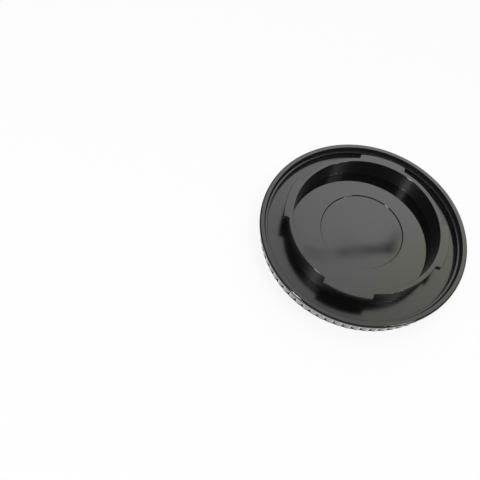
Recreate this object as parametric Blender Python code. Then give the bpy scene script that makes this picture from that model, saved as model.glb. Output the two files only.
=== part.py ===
# Camera body cap with a four-lug bayonet, moulded in one piece of glossy black plastic.
#
# The cap lies on its plain outer face with the bayonet side up. Its section is one outline
# turned about the axis, the ribs of the grip are drawn into the turned wall, and the lugs
# are joined to the end of the collar.
# Units are metres. The origin is the middle of the underside, and +Z is the cap's axis.

import math

import bmesh
import bpy
from mathutils import Vector

MM = 0.001

# Plate: the flat disc that the collar and the rim stand on
PLATE_THICKNESS = 1.95 * MM
PANEL_DEPTH = 0.4 * MM
WEB_THICKNESS = 2.45 * MM
BASE_RING_WIDTH = 7.25 * MM
BASE_EDGE = 0.3 * MM
PANEL_EDGE = 0.3 * MM

# Collar: the drafted ring that enters the camera's mount
COLLAR_OUTER_RADIUS = 22.8 * MM
COLLAR_WALL = 1.35 * MM
COLLAR_HEIGHT = 6.35 * MM
COLLAR_EDGE = 0.2 * MM
COLLAR_FOOT = 0.1 * MM
RECESS_DRAFT = 0.3 * MM
RECESS_FOOT = 0.1 * MM

# Shallow round sink in the middle of the recess floor
SINK_BORDER = 8.65 * MM
SINK_DEPTH = 0.25 * MM
SINK_SLOPE = 0.15 * MM

# Lugs: four equal tabs, flush with the end of the collar, with parallel ends
LUG_COUNT = 4
LUG_REACH = 1.45 * MM
LUG_WIDTH = 14.2 * MM
LUG_THICKNESS = 1.55 * MM
LUG_CORNER = 0.3 * MM
FIRST_LUG_ANGLE = math.radians(45.0)

# Channel between the collar and the rim, where the camera's mount ring sits
CHANNEL_WIDTH = 5.75 * MM
CHANNEL_FILLET = 0.15 * MM

# Rim: a ledge inside, a sloped step up to a narrow flat, and a rounded outer edge
LEDGE_HEIGHT = 1.55 * MM
LEDGE_WIDTH = 0.65 * MM
RIM_RISE = 1.35 * MM
RIM_SLOPE = 0.35 * MM
RIM_FLAT = 0.95 * MM
RIM_ROUND = 0.5 * MM

# Grip: the wall under the rim's lip, with ribs that run out just below the lip
LIP_DROP = 0.25 * MM
LIP_OVERHANG = 0.25 * MM
GRIP_TAPER = 0.2 * MM
RIB_COUNT = 75
RIB_DEPTH = 0.5 * MM
RIB_RUN_OUT = 0.8 * MM

# Fineness of the mesh
COLUMNS_PER_RIB = 2
ROUND_SEGMENTS = 3
LUG_SEGMENTS = 12
MERGE_DISTANCE = 0.0001 * MM

# Finish
PLASTIC_COLOUR = (0.005, 0.005, 0.0051, 1.0)
PLASTIC_ROUGHNESS = 0.12

# Places that follow from the sizes
COLLAR_TOP = PLATE_THICKNESS + COLLAR_HEIGHT
LEDGE_TOP = PLATE_THICKNESS + LEDGE_HEIGHT
RIM_TOP = LEDGE_TOP + RIM_RISE
CHANNEL_RADIUS = COLLAR_OUTER_RADIUS + CHANNEL_WIDTH
RIM_STEP_RADIUS = CHANNEL_RADIUS + LEDGE_WIDTH
RIM_FLAT_RADIUS = RIM_STEP_RADIUS + RIM_SLOPE
RIM_RADIUS = RIM_FLAT_RADIUS + RIM_FLAT + RIM_ROUND
RECESS_FLOOR = PANEL_DEPTH + WEB_THICKNESS
RECESS_RADIUS = COLLAR_OUTER_RADIUS - COLLAR_WALL


def quarter(centre_radius, centre_height, size, start):
    """Points on a quarter circle that turns clockwise from the start angle in degrees."""
    points = []
    for step in range(ROUND_SEGMENTS + 1):
        angle = math.radians(start - 90.0 * step / ROUND_SEGMENTS)
        radius = centre_radius + size * math.cos(angle)
        points.append((radius, centre_height + size * math.sin(angle)))
    return points


def mirrored_quarter(centre_radius, centre_height, size, start):
    """Points on a quarter circle that turns anticlockwise from the start angle in degrees."""
    return quarter(centre_radius, centre_height, size, start + 90.0)[::-1]


def underside_outline():
    """From the middle of the panel out to the foot of the grip."""
    grip_foot = RIM_RADIUS - LIP_OVERHANG - GRIP_TAPER
    ring_radius = grip_foot - RIB_DEPTH - BASE_EDGE
    panel_radius = ring_radius - BASE_RING_WIDTH
    return [
        (0.0, PANEL_DEPTH),
        (panel_radius - PANEL_EDGE, PANEL_DEPTH),
        (panel_radius, 0.0),
        (ring_radius, 0.0),
    ]


def grip_outline():
    """The rib tips, from the base edge past the start of the run-out to the underside of the lip."""
    top_radius = RIM_RADIUS - LIP_OVERHANG
    top_height = RIM_TOP - RIM_ROUND - LIP_DROP
    run_out_share = RIB_RUN_OUT / (top_height - BASE_EDGE)
    return [
        (top_radius - GRIP_TAPER, BASE_EDGE),
        (top_radius - GRIP_TAPER * run_out_share, top_height - RIB_RUN_OUT),
        (top_radius, top_height),
    ]


def rim_outline():
    """Over the lip, across the flat, and down the ledge into the channel."""
    fillet_radius = CHANNEL_RADIUS - CHANNEL_FILLET
    fillet_height = PLATE_THICKNESS + CHANNEL_FILLET
    outline = mirrored_quarter(RIM_RADIUS - RIM_ROUND, RIM_TOP - RIM_ROUND, RIM_ROUND, 0.0)
    outline.append((RIM_FLAT_RADIUS, RIM_TOP))
    outline.append((RIM_STEP_RADIUS, LEDGE_TOP))
    outline.append((CHANNEL_RADIUS, LEDGE_TOP))
    outline.extend(quarter(fillet_radius, fillet_height, CHANNEL_FILLET, 0.0))
    return outline


def collar_outline():
    """Up the outside of the collar, over its end, and down the drafted recess wall."""
    foot_height = PLATE_THICKNESS + COLLAR_FOOT
    foot_radius = COLLAR_OUTER_RADIUS + COLLAR_FOOT
    wall_foot = RECESS_RADIUS - RECESS_DRAFT
    outline = quarter(foot_radius, foot_height, COLLAR_FOOT, 270.0)
    outline.append((COLLAR_OUTER_RADIUS, COLLAR_TOP - COLLAR_EDGE))
    outline.append((COLLAR_OUTER_RADIUS - COLLAR_EDGE, COLLAR_TOP))
    outline.append((RECESS_RADIUS + COLLAR_EDGE, COLLAR_TOP))
    outline.append((RECESS_RADIUS, COLLAR_TOP - COLLAR_EDGE))
    outline.extend(quarter(wall_foot - RECESS_FOOT, RECESS_FLOOR + RECESS_FOOT, RECESS_FOOT, 0.0))
    return outline


def floor_outline():
    """From the sink's edge in the recess floor to the middle."""
    sink_radius = RECESS_RADIUS - RECESS_DRAFT - RECESS_FOOT - SINK_BORDER
    return [
        (sink_radius, RECESS_FLOOR),
        (sink_radius - SINK_SLOPE, RECESS_FLOOR - SINK_DEPTH),
        (0.0, RECESS_FLOOR - SINK_DEPTH),
    ]


def build_body():
    """Turn the outline about the axis and draw the grooves between the ribs."""
    columns = COLUMNS_PER_RIB * RIB_COUNT
    column_angle = 2.0 * math.pi / columns
    grip = grip_outline()
    outline = underside_outline() + grip + rim_outline() + collar_outline() + floor_outline()
    groove_depths = {grip[0]: RIB_DEPTH, grip[1]: RIB_DEPTH}

    shape = bmesh.new()
    groove = shape.verts.layers.float.new("groove")
    chain = []
    for point in outline:
        vertex = shape.verts.new((point[0], 0.0, point[1]))
        vertex[groove] = groove_depths.get(point, 0.0)
        chain.append(vertex)
    edges = [shape.edges.new(pair) for pair in zip(chain, chain[1:])]
    bmesh.ops.spin(
        shape,
        geom=chain + edges,
        cent=(0.0, 0.0, 0.0),
        axis=(0.0, 0.0, 1.0),
        angle=2.0 * math.pi,
        steps=columns,
        use_merge=True,
    )
    bmesh.ops.remove_doubles(shape, verts=shape.verts, dist=MERGE_DISTANCE)

    for vertex in shape.verts:
        column = round(math.atan2(vertex.co.y, vertex.co.x) / column_angle)
        if vertex[groove] > 0.0 and column % COLUMNS_PER_RIB:
            outward = Vector((vertex.co.x, vertex.co.y, 0.0)).normalized()
            vertex.co -= outward * vertex[groove]
    bmesh.ops.recalc_face_normals(shape, faces=shape.faces)

    mesh = bpy.data.meshes.new("body_cap")
    shape.to_mesh(mesh)
    shape.free()
    return mesh


def build_lug():
    """One tab: two arcs with parallel ends between them, extruded down from the collar's end."""
    outer_radius = COLLAR_OUTER_RADIUS + LUG_REACH
    inner_radius = COLLAR_OUTER_RADIUS - COLLAR_WALL / 2.0
    shape = bmesh.new()
    corners = []
    for radius, turn in ((outer_radius, 1.0), (inner_radius, -1.0)):
        half_angle = math.asin(LUG_WIDTH / 2.0 / radius)
        for step in range(LUG_SEGMENTS + 1):
            place = turn * half_angle * (2.0 * step / LUG_SEGMENTS - 1.0)
            point = (radius * math.cos(place), radius * math.sin(place), COLLAR_TOP)
            corners.append(shape.verts.new(point))
    top = shape.faces.new(corners)
    pulled = bmesh.ops.extrude_face_region(shape, geom=[top])["geom"]
    lower = [item for item in pulled if isinstance(item, bmesh.types.BMVert)]
    bmesh.ops.translate(shape, verts=lower, vec=(0.0, 0.0, -LUG_THICKNESS))

    ends = (corners[0], corners[LUG_SEGMENTS])
    uprights = [edge for end in ends for edge in end.link_edges if is_upright(edge)]
    bmesh.ops.bevel(
        shape,
        geom=uprights,
        offset=LUG_CORNER,
        segments=2,
        profile=0.5,
        affect="EDGES",
    )
    bmesh.ops.recalc_face_normals(shape, faces=shape.faces)
    mesh = bpy.data.meshes.new("lug")
    shape.to_mesh(mesh)
    shape.free()
    return mesh


def is_upright(edge):
    """True for an edge that runs parallel to the axis."""
    run = edge.verts[0].co - edge.verts[1].co
    return abs(run.z) > MERGE_DISTANCE and run.xy.length < MERGE_DISTANCE


def black_plastic():
    """Smooth glossy black, as it comes from a polished mould."""
    material = bpy.data.materials.new("black_plastic")
    material.use_nodes = True
    surface = material.node_tree.nodes["Principled BSDF"]
    surface.inputs["Base Color"].default_value = PLASTIC_COLOUR
    surface.inputs["Roughness"].default_value = PLASTIC_ROUGHNESS
    surface.inputs["Metallic"].default_value = 0.0
    return material


for leftover in list(bpy.data.objects):
    bpy.data.objects.remove(leftover, do_unlink=True)

cap = bpy.data.objects.new("body_cap", build_body())
bpy.context.scene.collection.objects.link(cap)
cap.data.materials.append(black_plastic())

lug_mesh = build_lug()
lugs = bpy.data.collections.new("lugs")
bpy.context.scene.collection.children.link(lugs)
for number in range(LUG_COUNT):
    lug = bpy.data.objects.new(f"lug_{number + 1}", lug_mesh)
    lug.rotation_euler.z = FIRST_LUG_ANGLE + 2.0 * math.pi * number / LUG_COUNT
    lug.hide_render = True
    lug.display_type = "WIRE"
    lugs.objects.link(lug)

join = cap.modifiers.new("lugs on the collar", "BOOLEAN")
join.operation = "UNION"
join.solver = "EXACT"
join.operand_type = "COLLECTION"
join.collection = lugs

cap.data.shade_smooth()
cap.data.set_sharp_from_angle(angle=math.radians(30.0))
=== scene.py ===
"""A black camera body cap with a four-lug bayonet, lying on a white table with its collar up."""

import math

import bpy
import numpy as np
from mathutils import Matrix, Vector


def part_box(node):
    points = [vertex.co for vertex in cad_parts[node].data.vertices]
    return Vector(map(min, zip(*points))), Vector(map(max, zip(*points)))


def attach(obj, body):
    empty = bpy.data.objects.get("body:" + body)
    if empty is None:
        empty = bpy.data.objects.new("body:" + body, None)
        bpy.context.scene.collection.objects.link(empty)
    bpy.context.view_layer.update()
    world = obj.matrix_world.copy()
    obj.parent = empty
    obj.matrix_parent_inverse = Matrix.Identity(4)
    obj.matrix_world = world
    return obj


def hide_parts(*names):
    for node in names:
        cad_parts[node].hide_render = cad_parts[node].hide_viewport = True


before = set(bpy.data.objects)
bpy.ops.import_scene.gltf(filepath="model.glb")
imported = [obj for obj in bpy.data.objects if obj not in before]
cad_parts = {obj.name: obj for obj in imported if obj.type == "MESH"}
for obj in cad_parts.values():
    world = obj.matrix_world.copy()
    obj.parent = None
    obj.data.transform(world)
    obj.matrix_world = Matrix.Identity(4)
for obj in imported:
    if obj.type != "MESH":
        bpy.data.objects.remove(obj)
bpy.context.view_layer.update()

# The cap
# One moulding of black plastic, as it comes out of a polished mould: a ribbed plate to hold it
# by, a drafted collar that goes into the camera's mount, and four lugs that turn behind the
# mount's tabs. Every edge has the small radius that the mould gives it. Lengths are in metres.

MM = 0.001
cap_low, cap_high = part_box("body_cap")
RIM_RADIUS = cap_high.x
COLLAR_TOP = cap_high.z

PANEL_DEPTH = 0.4 * MM
PANEL_RADIUS = 22.5 * MM
PANEL_SLOPE = 0.3 * MM
PANEL_ROUND = 0.15 * MM

RIM_TOP = 4.85 * MM
RIM_ROUND = 0.5 * MM
LIP_OVERHANG = 0.25 * MM
LIP_FOOT = 4.22 * MM
LIP_EDGE = 0.08 * MM
LIP_CREASE = 0.06 * MM
GRIP_TOP = 4.1 * MM
GRIP_TAPER = 0.2 * MM
GRIP_TOP_RADIUS = RIM_RADIUS - LIP_OVERHANG
GRIP_FOOT_RADIUS = GRIP_TOP_RADIUS - GRIP_TAPER
BASE_ROUND = 0.3 * MM

RIB_COUNT = 75
RIB_DEPTH = 0.5 * MM
RIB_RUN_OUT = 0.8 * MM
RIB_VALLEY = 0.1

RIM_FLAT_RADIUS = 29.55 * MM
RIM_EDGE = 0.08 * MM
RIM_INSIDE = RIM_FLAT_RADIUS + RIM_EDGE
STEP_RADIUS = 29.2 * MM
LEDGE_TOP = 3.5 * MM
CHANNEL_RADIUS = 28.55 * MM
LEDGE_FOOT = 0.08 * MM
LEDGE_EDGE = 0.2 * MM
CHANNEL_FLOOR = 1.95 * MM
CHANNEL_FILLET = 0.08 * MM

COLLAR_RADIUS = 22.8 * MM
COLLAR_FOOT_ROUND = 0.04 * MM
COLLAR_EDGE = 0.2 * MM
RECESS_RADIUS = 21.45 * MM
RECESS_FOOT_RADIUS = 21.15 * MM
RECESS_FLOOR = 2.85 * MM
RECESS_FOOT_ROUND = 0.04 * MM
SINK_RADIUS = 12.4 * MM
SINK_DEPTH = 0.25 * MM
SINK_SLOPE = 0.16 * MM
SINK_ROUND = 0.18 * MM

LUG_COUNT = 4
LUG_RADIUS = 24.25 * MM
LUG_WIDTH = 14.2 * MM
LUG_THICKNESS = 1.55 * MM
LUG_DRAFT = 0.03 * MM
LUG_EDGE = 0.1 * MM
LUG_CORNER = 0.35 * MM
LUG_ROOT = 0.06 * MM
FIRST_LUG = math.radians(45.0)

COLUMNS_PER_RIB = 12
GRIP_ROWS = 7
LUG_END_COLUMNS = 16
INSIDE_LUG_END = math.radians(0.7)
PAST_LUG_FOOT = math.radians(0.5)
SMALL_STEP = 1e-7
SMALL_TURN = 1e-6
LEAST_SINE = 1e-6
LEAST_SIZE = 1e-3


def rounded_path(corners):
    """Points and unit directions along a path whose corners are arcs. A corner is (across, up,
    round, points). Its arc touches both sides at round / tan(half the corner's angle) from the
    corner, its centre lies on the bisector, and its points turn evenly between the sides."""
    place = np.array([corner[:2] for corner in corners])
    path = []
    course = []
    for index in range(1, len(corners) - 1):
        size, count = corners[index][2:]
        back = place[index - 1] - place[index]
        ahead = place[index + 1] - place[index]
        back /= np.hypot(*back)
        ahead /= np.hypot(*ahead)
        half = math.acos(np.clip(back @ ahead, -1.0, 1.0)) / 2.0
        touch = size / math.tan(half)
        inward = (back + ahead) / np.hypot(*(back + ahead))
        centre = place[index] + inward * size / math.sin(half)
        start = (place[index] + back * touch - centre) / size
        end = (place[index] + ahead * touch - centre) / size
        sweep = math.pi - 2.0 * half
        turn = np.linspace(0.0, sweep, count)[:, None]
        first_share = np.sin(sweep - turn) / math.sin(sweep)
        last_share = np.sin(turn) / math.sin(sweep)
        path.append(centre + size * (first_share * start + last_share * end))
        course.append(last_share * ahead - first_share * back)
    return np.concatenate(path), np.concatenate(course)


def from_nearest(angle, count, first):
    """Signed angle from the nearest of a number of evenly spaced directions."""
    pitch = 2.0 * math.pi / count
    return (angle - first + pitch / 2.0) % pitch - pitch / 2.0


def groove_share(angle):
    """0 on a rib's tip and 1 in the groove. The ribs are round and the grooves narrow: the wave
    is sqrt(cos^2(half the count times the angle) + valley^2), and its crest less the wave is
    divided by its crest less the valley."""
    wave = np.sqrt(np.cos(angle * RIB_COUNT / 2.0) ** 2 + RIB_VALLEY**2)
    crest = math.sqrt(1.0 + RIB_VALLEY**2)
    return (crest - wave) / (crest - RIB_VALLEY)


def lug_reach(angle, inset):
    """Distance from the axis to the lugs' outline in plan, drawn in by the inset. Near a lug's
    middle it is the tip radius, and past its corner it is the parallel end, half the width over
    the sine of the angle. The lesser of the two is taken, with the corner rounded by
    (a + b - sqrt((a - b)^2 + corner^2)) / 2."""
    aside = np.abs(np.sin(from_nearest(angle, LUG_COUNT, FIRST_LUG)))
    tip = LUG_RADIUS - inset
    end = (LUG_WIDTH / 2.0 - inset) / np.maximum(aside, LEAST_SINE)
    return (tip + end - np.sqrt((tip - end) ** 2 + LUG_CORNER**2)) / 2.0


def not_inside(radius, wall):
    """The greater of two distances, with the inner corner between them filled by the same rule."""
    return (radius + wall + np.sqrt((radius - wall) ** 2 + LUG_ROOT**2)) / 2.0


def plain_turning(path, angle):
    """The same distance from the axis in every direction."""
    return path[:, :1] * np.ones_like(angle)


def ribbed_turning(path, angle):
    """The distance less the groove between two ribs. The grooves run out just below the lip, and
    over the base's rounded edge."""
    radius, height = path[:, :1], path[:, 1:]
    depth = RIB_DEPTH * np.clip((GRIP_TOP - height) / RIB_RUN_OUT, 0.0, 1.0)
    depth = depth * np.clip(height / BASE_ROUND, 0.0, 1.0) * (radius > PANEL_RADIUS)
    return radius - depth * groove_share(angle)


def lugged_turning(path, angle):
    """The lugs' outline drawn in to the path, and the collar between them. The collar's own edge
    is a quarter circle, so it draws in by edge - sqrt(edge^2 - up^2)."""
    up = np.clip(path[:, 1:] - (COLLAR_TOP - COLLAR_EDGE), 0.0, COLLAR_EDGE)
    wall = COLLAR_RADIUS - COLLAR_EDGE + np.sqrt(COLLAR_EDGE**2 - up**2)
    return not_inside(lug_reach(angle, -path[:, :1]), wall)


def skin_rows(path, course, angle, turning):
    """Points and outward normals of the rows that a path gives. With R for the distance from the
    axis, s along the path and a the angle, the normal is the cross product of the two tangents:
    (dz/ds) outward, -(dz/ds)(dR/da)/R round the axis and -(dR/ds) up. Where it has no size, the
    surface is level and the normal points up."""
    radius = turning(path, angle)
    further = turning(path + SMALL_STEP * course, angle)
    nearer = turning(path - SMALL_STEP * course, angle)
    turned_on = turning(path, angle + SMALL_TURN)
    turned_back = turning(path, angle - SMALL_TURN)
    rise = course[:, 1:]
    outward = rise * np.ones_like(angle)
    sideways = -rise * (turned_on - turned_back) / (2.0 * SMALL_TURN) / radius
    up = -(further - nearer) / (2.0 * SMALL_STEP)
    size = np.sqrt(outward**2 + sideways**2 + up**2)
    lost = size < LEAST_SIZE
    up = np.where(lost, 1.0, up)
    size = np.where(lost, 1.0, size)
    cosine = np.cos(angle)
    sine = np.sin(angle)
    level = path[:, 1:] * np.ones_like(angle)
    points = np.stack([radius * cosine, radius * sine, level], axis=-1)
    facing_x = outward * cosine - sideways * sine
    facing_y = outward * sine + sideways * cosine
    normals = np.stack([facing_x, facing_y, up], axis=-1)
    return points, normals / size[..., None]


def closed_skin(name, points, normals):
    """A closed skin round the Z axis. Rows join to the next row, the last column joins to the
    first, and a point on the axis closes each end with a fan."""
    rows, columns = points.shape[:2]
    poles = [(0.0, 0.0, points[0, 0, 2]), (0.0, 0.0, points[-1, 0, 2])]
    places = np.vstack([points.reshape(-1, 3), poles])
    facing = np.vstack([normals.reshape(-1, 3), [(0.0, 0.0, -1.0), (0.0, 0.0, 1.0)]])
    here = np.arange(rows * columns).reshape(rows, columns)
    beside = np.roll(here, -1, axis=1)
    quads = np.stack([here[:-1], beside[:-1], beside[1:], here[1:]], axis=-1).reshape(-1, 4)
    under = np.full(columns, rows * columns)
    first_fan = np.stack([under, beside[0], here[0]], axis=-1)
    last_fan = np.stack([here[-1], beside[-1], under + 1], axis=-1)
    mesh = bpy.data.meshes.new(name)
    mesh.from_pydata(places, [], quads.tolist() + first_fan.tolist() + last_fan.tolist())
    mesh.update()
    mesh.shade_smooth()
    mesh.normals_split_custom_set_from_vertices(facing)
    return mesh


# Columns: the same few directions on every rib, closer together near the grooves, and a tight
# bundle at each end of each lug.
rib_pitch = 2.0 * math.pi / RIB_COUNT
even_steps = np.linspace(-1.0, 1.0, COLUMNS_PER_RIB, endpoint=False)
rib_steps = np.sin(even_steps * math.pi / 2.0) * rib_pitch / 2.0
rib_angles = (np.arange(RIB_COUNT)[:, None] * rib_pitch + rib_steps).ravel()
lug_end = math.asin(LUG_WIDTH / 2.0 / LUG_RADIUS)
lug_foot = math.asin(LUG_WIDTH / 2.0 / COLLAR_RADIUS)
bundle = np.linspace(lug_end - INSIDE_LUG_END, lug_foot + PAST_LUG_FOOT, LUG_END_COLUMNS)
lug_middles = FIRST_LUG + np.arange(LUG_COUNT)[:, None] * 2.0 * math.pi / LUG_COUNT
lug_angles = (lug_middles + np.concatenate([-bundle, bundle])).ravel()
from_lug = np.abs(from_nearest(rib_angles, LUG_COUNT, FIRST_LUG))
clear_of_ends = (from_lug < bundle[0]) | (from_lug > bundle[-1])
angles = np.sort(np.concatenate([rib_angles[clear_of_ends], lug_angles]) % (2.0 * math.pi))

# Rows, from the middle of the underside out, over the rim and into the recess.
foot, foot_course = rounded_path(
    [
        (0.0, PANEL_DEPTH, 0.0, 0),
        (PANEL_RADIUS - PANEL_SLOPE, PANEL_DEPTH, PANEL_ROUND, 3),
        (PANEL_RADIUS, 0.0, PANEL_ROUND, 3),
        (GRIP_FOOT_RADIUS, 0.0, BASE_ROUND, 6),
        (GRIP_TOP_RADIUS, GRIP_TOP, 0.0, 0),
    ]
)
share = np.linspace(0.0, 1.0, GRIP_ROWS + 2)[1:-1, None]
grip = foot[-1] * (1.0 - share) + np.array([GRIP_TOP_RADIUS, GRIP_TOP]) * share
grip_course = foot_course[-1] * np.ones_like(grip)
rim = rounded_path(
    [
        (*foot[-1], 0.0, 0),
        (GRIP_TOP_RADIUS, GRIP_TOP, LIP_CREASE, 3),
        (RIM_RADIUS, LIP_FOOT, LIP_EDGE, 3),
        (RIM_RADIUS, RIM_TOP, RIM_ROUND, 8),
        (RIM_FLAT_RADIUS, RIM_TOP, RIM_EDGE, 5),
        (STEP_RADIUS, LEDGE_TOP, LEDGE_FOOT, 5),
        (CHANNEL_RADIUS, LEDGE_TOP, LEDGE_EDGE, 5),
        (CHANNEL_RADIUS, CHANNEL_FLOOR, CHANNEL_FILLET, 10),
        (COLLAR_RADIUS, CHANNEL_FLOOR, COLLAR_FOOT_ROUND, 4),
        (COLLAR_RADIUS, COLLAR_TOP, 0.0, 0),
    ]
)
lug_floor = COLLAR_TOP - LUG_THICKNESS
reach = LUG_RADIUS - COLLAR_RADIUS
lugs = rounded_path(
    [
        (-reach, lug_floor - LUG_THICKNESS, 0.0, 0),
        (-reach, lug_floor - LUG_DRAFT, LUG_EDGE, 4),
        (0.0, lug_floor, LUG_EDGE, 4),
        (0.0, COLLAR_TOP, COLLAR_EDGE, 6),
        (-reach, COLLAR_TOP, 0.0, 0),
    ]
)
recess = rounded_path(
    [
        (COLLAR_RADIUS - COLLAR_EDGE, COLLAR_TOP, 0.0, 0),
        (RECESS_RADIUS, COLLAR_TOP, COLLAR_EDGE, 6),
        (RECESS_FOOT_RADIUS, RECESS_FLOOR, RECESS_FOOT_ROUND, 4),
        (SINK_RADIUS + SINK_SLOPE / 2.0, RECESS_FLOOR, SINK_ROUND, 5),
        (SINK_RADIUS - SINK_SLOPE / 2.0, RECESS_FLOOR - SINK_DEPTH, SINK_ROUND, 5),
        (0.0, RECESS_FLOOR - SINK_DEPTH, 0.0, 0),
    ]
)

bands = [
    skin_rows(np.vstack([foot, grip]), np.vstack([foot_course, grip_course]), angles, ribbed_turning),
    skin_rows(*rim, angles, plain_turning),
    skin_rows(*lugs, angles, lugged_turning),
    skin_rows(*recess, angles, plain_turning),
]
skin = [np.concatenate(parts) for parts in zip(*bands)]
cap = bpy.data.objects.new("moulded_cap", closed_skin("moulded_cap", *skin))
bpy.context.scene.collection.objects.link(cap)

PLASTIC_COLOUR = (0.005, 0.005, 0.0051, 1.0)
REFRACTION = 1.58
UPRIGHT_FACE = (0.5, 0.2)
LEANING_FACE = (0.98, 0.9)
POLISHED = 0.04
HANDLED = 0.09
SMUDGE_SCALE = 90.0
SMUDGE_RANGE = (0.4, 0.75)
CHANNEL_FINISH = 0.2
CHANNEL_WALL_FINISH = 0.6
COLLAR_WALL_FINISH = 0.33
UPRIGHT_STREAK = 1.0
QUARTER_TURN = 0.25
PAST_LUGS = (LUG_RADIUS + MM, LUG_RADIUS + 2.0 * MM)
SINK_MARK_SCALE = 110.0
SINK_MARK_DEPTH = 0.012 * MM
GRAIN_SCALE = 2600.0
GRAIN_DEPTH = 0.0003 * MM


def reckon(tree, operation, first, second=None):
    """A math node on one or two values, each of them a socket or a number."""
    node = tree.nodes.new("ShaderNodeMath")
    node.operation = operation
    for socket, value in zip(node.inputs, (first, second)):
        if isinstance(value, float):
            socket.default_value = value
        elif value is not None:
            tree.links.new(value, socket)
    return node.outputs["Value"]


def fade(tree, value, start, end, low, high, smooth=True):
    """Runs from low to high while the value runs from start to end."""
    node = tree.nodes.new("ShaderNodeMapRange")
    node.interpolation_type = "SMOOTHSTEP" if smooth else "LINEAR"
    node.inputs["From Min"].default_value = start
    node.inputs["From Max"].default_value = end
    node.inputs["To Min"].default_value = low
    node.inputs["To Max"].default_value = high
    tree.links.new(value, node.inputs["Value"])
    return node.outputs["Result"]


def soft_noise(tree, vector, scale, detail):
    """A noise between 0 and 1 on the object's own coordinates."""
    node = tree.nodes.new("ShaderNodeTexNoise")
    node.inputs["Scale"].default_value = scale
    node.inputs["Detail"].default_value = detail
    tree.links.new(vector, node.inputs["Vector"])
    return node.outputs["Fac"]


def relief(tree, height, depth, under=None):
    """Normals tilted by a height map of a given depth, on top of another bump if there is one."""
    node = tree.nodes.new("ShaderNodeBump")
    node.inputs["Strength"].default_value = 1.0
    node.inputs["Distance"].default_value = depth
    tree.links.new(height, node.inputs["Height"])
    if under is not None:
        tree.links.new(under, node.inputs["Normal"])
    return node.outputs["Normal"]


def moulded_plastic(name):
    """Glossy black plastic with a uniform base colour. Its flat faces drift between polished and
    handled with a soft noise. The channel is duller and its outer wall matt. The collar's walls
    keep the mould's turning marks, which draw light out into upright streaks, and the grip has
    the sheen of a much handled edge. A long shallow wave and a fine grain tilt the surface a
    little, as sink marks and the mould's polish do."""
    material = bpy.data.materials.new(name)
    material.use_nodes = True
    tree = material.node_tree
    surface = tree.nodes["Principled BSDF"]
    surface.inputs["Base Color"].default_value = PLASTIC_COLOUR
    surface.inputs["Metallic"].default_value = 0.0
    surface.inputs["IOR"].default_value = REFRACTION
    surface.inputs["Anisotropic Rotation"].default_value = QUARTER_TURN
    surface.inputs["Coat IOR"].default_value = REFRACTION
    surface.inputs["Coat Roughness"].default_value = HANDLED
    texture = tree.nodes.new("ShaderNodeTexCoord")
    place = texture.outputs["Object"]
    spot = tree.nodes.new("ShaderNodeSeparateXYZ")
    facing = tree.nodes.new("ShaderNodeSeparateXYZ")
    tree.links.new(place, spot.inputs["Vector"])
    tree.links.new(texture.outputs["Normal"], facing.inputs["Vector"])

    x_squared = reckon(tree, "POWER", spot.outputs["X"], 2.0)
    y_squared = reckon(tree, "POWER", spot.outputs["Y"], 2.0)
    from_axis = reckon(tree, "SQRT", reckon(tree, "ADD", x_squared, y_squared))
    upright = fade(tree, facing.outputs["Z"], *UPRIGHT_FACE, 0.0, 1.0)
    leaning = fade(tree, facing.outputs["Z"], *LEANING_FACE, 0.0, 1.0)
    inside = reckon(tree, "LESS_THAN", from_axis, RIM_INSIDE)
    past_collar = reckon(tree, "GREATER_THAN", from_axis, (COLLAR_RADIUS + RECESS_RADIUS) / 2.0)
    sunken = reckon(tree, "LESS_THAN", spot.outputs["Z"], RIM_TOP + RIM_EDGE)
    channel = reckon(tree, "MULTIPLY", reckon(tree, "MULTIPLY", inside, past_collar), sunken)
    channel_sides = reckon(tree, "MULTIPLY", channel, leaning)
    walls = reckon(tree, "MAXIMUM", reckon(tree, "MULTIPLY", upright, inside), channel_sides)
    wall_finish = fade(tree, from_axis, *PAST_LUGS, COLLAR_WALL_FINISH, CHANNEL_WALL_FINISH)
    streak = fade(tree, from_axis, *PAST_LUGS, UPRIGHT_STREAK, 0.0)
    outside = reckon(tree, "SUBTRACT", 1.0, inside)
    grip_sheen = reckon(tree, "MULTIPLY", upright, outside)

    smudges = soft_noise(tree, place, SMUDGE_SCALE, 5.0)
    gloss = fade(tree, smudges, *SMUDGE_RANGE, POLISHED, HANDLED, smooth=False)
    flats = reckon(tree, "MAXIMUM", gloss, reckon(tree, "MULTIPLY", channel, CHANNEL_FINISH))
    finish = tree.nodes.new("ShaderNodeMix")
    finish.data_type = "FLOAT"
    tree.links.new(walls, finish.inputs["Factor"])
    tree.links.new(flats, finish.inputs["A"])
    tree.links.new(wall_finish, finish.inputs["B"])
    tree.links.new(finish.outputs["Result"], surface.inputs["Roughness"])
    tree.links.new(reckon(tree, "MULTIPLY", walls, streak), surface.inputs["Anisotropic"])
    tree.links.new(grip_sheen, surface.inputs["Coat Weight"])

    sink_marks = relief(tree, soft_noise(tree, place, SINK_MARK_SCALE, 1.0), SINK_MARK_DEPTH)
    grain = soft_noise(tree, place, GRAIN_SCALE, 2.0)
    tree.links.new(relief(tree, grain, GRAIN_DEPTH, sink_marks), surface.inputs["Normal"])
    return material


cap.data.materials.append(moulded_plastic("moulded_black_plastic"))
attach(cap, "root")
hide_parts("body_cap")

# The table
# A white laminate top that the cap lies on. To a camera, and in reflections, it is mostly plain
# white, and it keeps a faint shadow round the cap.

TABLE_HALF = 3.0
TABLE_DROP = 0.02 * MM
TABLE_WHITE = (0.9, 0.9, 0.9, 1.0)
TABLE_FINISH = 0.6
PLAIN_WHITE_SHARE = 0.85

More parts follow.
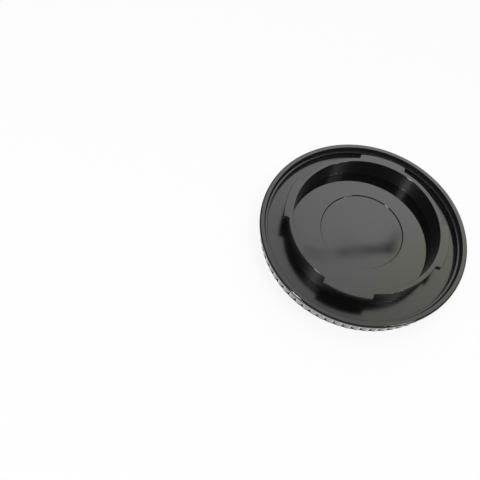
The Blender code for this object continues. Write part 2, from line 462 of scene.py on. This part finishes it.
corners = [(-1, -1), (1, -1), (1, 1), (-1, 1)]
table_mesh = bpy.data.meshes.new("table")
table_mesh.from_pydata(
    [(TABLE_HALF * x, TABLE_HALF * y, cap_low.z - TABLE_DROP) for x, y in corners],
    [],
    [(0, 1, 2, 3)],
)
table = bpy.data.objects.new("table", table_mesh)
bpy.context.scene.collection.objects.link(table)
white = bpy.data.materials.new("white_laminate")
white.use_nodes = True
white_tree = white.node_tree
white_surface = white_tree.nodes["Principled BSDF"]
white_surface.inputs["Base Color"].default_value = TABLE_WHITE
white_surface.inputs["Roughness"].default_value = TABLE_FINISH
white_surface.inputs["Specular IOR Level"].default_value = 0.0
rays = white_tree.nodes.new("ShaderNodeLightPath")
seen = rays.outputs["Is Camera Ray"]
for other_ray in ("Is Glossy Ray", "Is Transmission Ray"):
    seen = reckon(white_tree, "MAXIMUM", seen, rays.outputs[other_ray])
plain_white = white_tree.nodes.new("ShaderNodeEmission")
white_mix = white_tree.nodes.new("ShaderNodeMixShader")
white_share = reckon(white_tree, "MULTIPLY", seen, PLAIN_WHITE_SHARE)
white_output = white_tree.nodes["Material Output"]
white_tree.links.new(white_share, white_mix.inputs["Fac"])
white_tree.links.new(white_surface.outputs["BSDF"], white_mix.inputs[1])
white_tree.links.new(plain_white.outputs["Emission"], white_mix.inputs[2])
white_tree.links.new(white_mix.outputs["Shader"], white_output.inputs["Surface"])
table_mesh.materials.append(white)

# The light
# A wide soft light leans in from the far side and gives the flat faces their sheen. Its stand
# shows in them as three dark bars, and one side of it has a faint olive cast. Two small lamps
# draw the bright lines on the edges and walls, and the rest of the room is dim.

SOFT_AZIMUTH = math.radians(124.5)
SOFT_ELEVATION = math.radians(40.0)
SOFT_EDGE = 0.76
SOFT_MIDDLE = 1.015
SOFT_STRENGTH = 2.55
ROOM_STRENGTH = 0.24
WHITE = (1.0, 1.0, 1.0, 1.0)
CAST_COLOUR = (0.975, 1.0, 0.84, 1.0)
CAST_AZIMUTH = math.radians(95.0)
CAST_ELEVATION = math.radians(58.0)
CAST_EDGE = 0.976
CAST_MIDDLE = 0.987

# A bar's azimuth, elevation, tilt, half length, half width and depth
LONG_BAR = (math.radians(120.9), math.radians(58.6), math.radians(36.0), 0.072, 0.0155, 0.6)
SHORT_BAR = (math.radians(116.9), math.radians(56.2), math.radians(101.0), 0.03, 0.0145, 0.45)
END_BAR = (math.radians(130.0), math.radians(61.3), math.radians(13.0), 0.032, 0.018, 0.3)
DARK_LENGTH = 0.5
DARK_WIDTH = 0.2

# A lamp's azimuth, elevation, width, height and power
NEAR_LAMP = (math.radians(276.0), math.radians(57.0), 0.06, 0.22, 1.3)
FAR_LAMP = (math.radians(33.5), math.radians(55.0), 0.05, 0.22, 0.7)
LAMP_DISTANCE = 0.6


def direction(azimuth, elevation):
    """Unit vector from the cap towards a point of the sky."""
    flat = math.cos(elevation)
    return Vector((flat * math.cos(azimuth), flat * math.sin(azimuth), math.sin(elevation)))


world = bpy.data.worlds.new("studio")
bpy.context.scene.world = world
world.use_nodes = True
sky = world.node_tree
look = sky.nodes.new("ShaderNodeTexCoord")


def along(axis):
    """Dot product of a ray's direction with a fixed axis."""
    node = sky.nodes.new("ShaderNodeVectorMath")
    node.operation = "DOT_PRODUCT"
    node.inputs[1].default_value = axis
    sky.links.new(look.outputs["Generated"], node.inputs[0])
    return node.outputs["Value"]


def past_bar(azimuth, elevation, tilt, half_length, half_width, depth):
    """Share of the soft light that passes a bar in front of it: 1 - depth in the bar's middle,
    rising to 1 at its ends and sides. The bar's axis is turned from level by the tilt, and a ray's
    place along and across the bar is its dot product with that axis and the one square to it."""
    middle = direction(azimuth, elevation)
    level_axis = Vector((-math.sin(azimuth), math.cos(azimuth), 0.0))
    rising_axis = middle.cross(level_axis)
    axis = level_axis * math.cos(tilt) + rising_axis * math.sin(tilt)
    lengthways = reckon(sky, "ABSOLUTE", along(axis))
    crossways = reckon(sky, "ABSOLUTE", along(middle.cross(axis)))
    past_end = fade(sky, lengthways, half_length * DARK_LENGTH, half_length, 1.0 - depth, 1.0)
    past_side = fade(sky, crossways, half_width * DARK_WIDTH, half_width, 1.0 - depth, 1.0)
    return reckon(sky, "MAXIMUM", past_end, past_side)


toward_light = along(direction(SOFT_AZIMUTH, SOFT_ELEVATION))
glow = fade(sky, toward_light, SOFT_EDGE, SOFT_MIDDLE, ROOM_STRENGTH, SOFT_STRENGTH)
for bar in (LONG_BAR, SHORT_BAR, END_BAR):
    glow = reckon(sky, "MULTIPLY", glow, past_bar(*bar))

backdrop = sky.nodes["Background"]
toward_cast = along(direction(CAST_AZIMUTH, CAST_ELEVATION))
cast = sky.nodes.new("ShaderNodeValToRGB")
cast.color_ramp.elements[0].color = WHITE
cast.color_ramp.elements[1].color = CAST_COLOUR
sky.links.new(fade(sky, toward_cast, CAST_EDGE, CAST_MIDDLE, 0.0, 1.0), cast.inputs["Fac"])
sky.links.new(cast.outputs["Color"], backdrop.inputs["Color"])

# Seen past the table the room is plain white
sky_rays = sky.nodes.new("ShaderNodeLightPath")
seen = reckon(sky, "MAXIMUM", sky_rays.outputs["Is Camera Ray"], sky_rays.outputs["Is Transmission Ray"])
strength = sky.nodes.new("ShaderNodeMix")
strength.data_type = "FLOAT"
strength.inputs["B"].default_value = 1.0
sky.links.new(seen, strength.inputs["Factor"])
sky.links.new(glow, strength.inputs["A"])
sky.links.new(strength.outputs["Result"], backdrop.inputs["Strength"])

for lamp_name, lamp_values in (("near_lamp", NEAR_LAMP), ("far_lamp", FAR_LAMP)):
    azimuth, elevation, width, height, power = lamp_values
    toward_lamp = direction(azimuth, elevation)
    lamp_data = bpy.data.lights.new(lamp_name, "AREA")
    lamp_data.shape = "ELLIPSE"
    lamp_data.size = width
    lamp_data.size_y = height
    lamp_data.energy = power
    lamp = bpy.data.objects.new(lamp_name, lamp_data)
    lamp.location = toward_lamp * LAMP_DISTANCE
    lamp.rotation_euler = toward_lamp.to_track_quat("Z", "Y").to_euler()
    bpy.context.scene.collection.objects.link(lamp)

# The camera
# It stands where the photograph was taken from: about 16 cm from the cap and well above the
# table, with the cap right of the middle of the picture.

CAMERA_PLACE = Vector((46.68 * MM, -71.0 * MM, 132.65 * MM))
PICTURE_CENTRE = Vector((-10.66 * MM, -35.38 * MM, RIM_TOP))
CAMERA_ROLL = math.radians(7.17)
SENSOR_WIDTH = 36.0
LENS = 37.64
SHIFT_ACROSS = -0.0017
SHIFT_UP = 0.00095
NEAREST_SEEN = 5.0 * MM

camera_data = bpy.data.cameras.new("camera")
camera_data.sensor_width = SENSOR_WIDTH
camera_data.lens = LENS
camera_data.shift_x = SHIFT_ACROSS
camera_data.shift_y = SHIFT_UP
camera_data.clip_start = NEAREST_SEEN
camera = bpy.data.objects.new("camera", camera_data)
level = (CAMERA_PLACE - PICTURE_CENTRE).to_track_quat("Z", "Y").to_matrix().to_4x4()
camera.matrix_world = Matrix.Translation(CAMERA_PLACE) @ level @ Matrix.Rotation(CAMERA_ROLL, 4, "Z")
bpy.context.scene.collection.objects.link(camera)
bpy.context.scene.camera = camera
bpy.context.scene.view_settings.view_transform = "Standard"
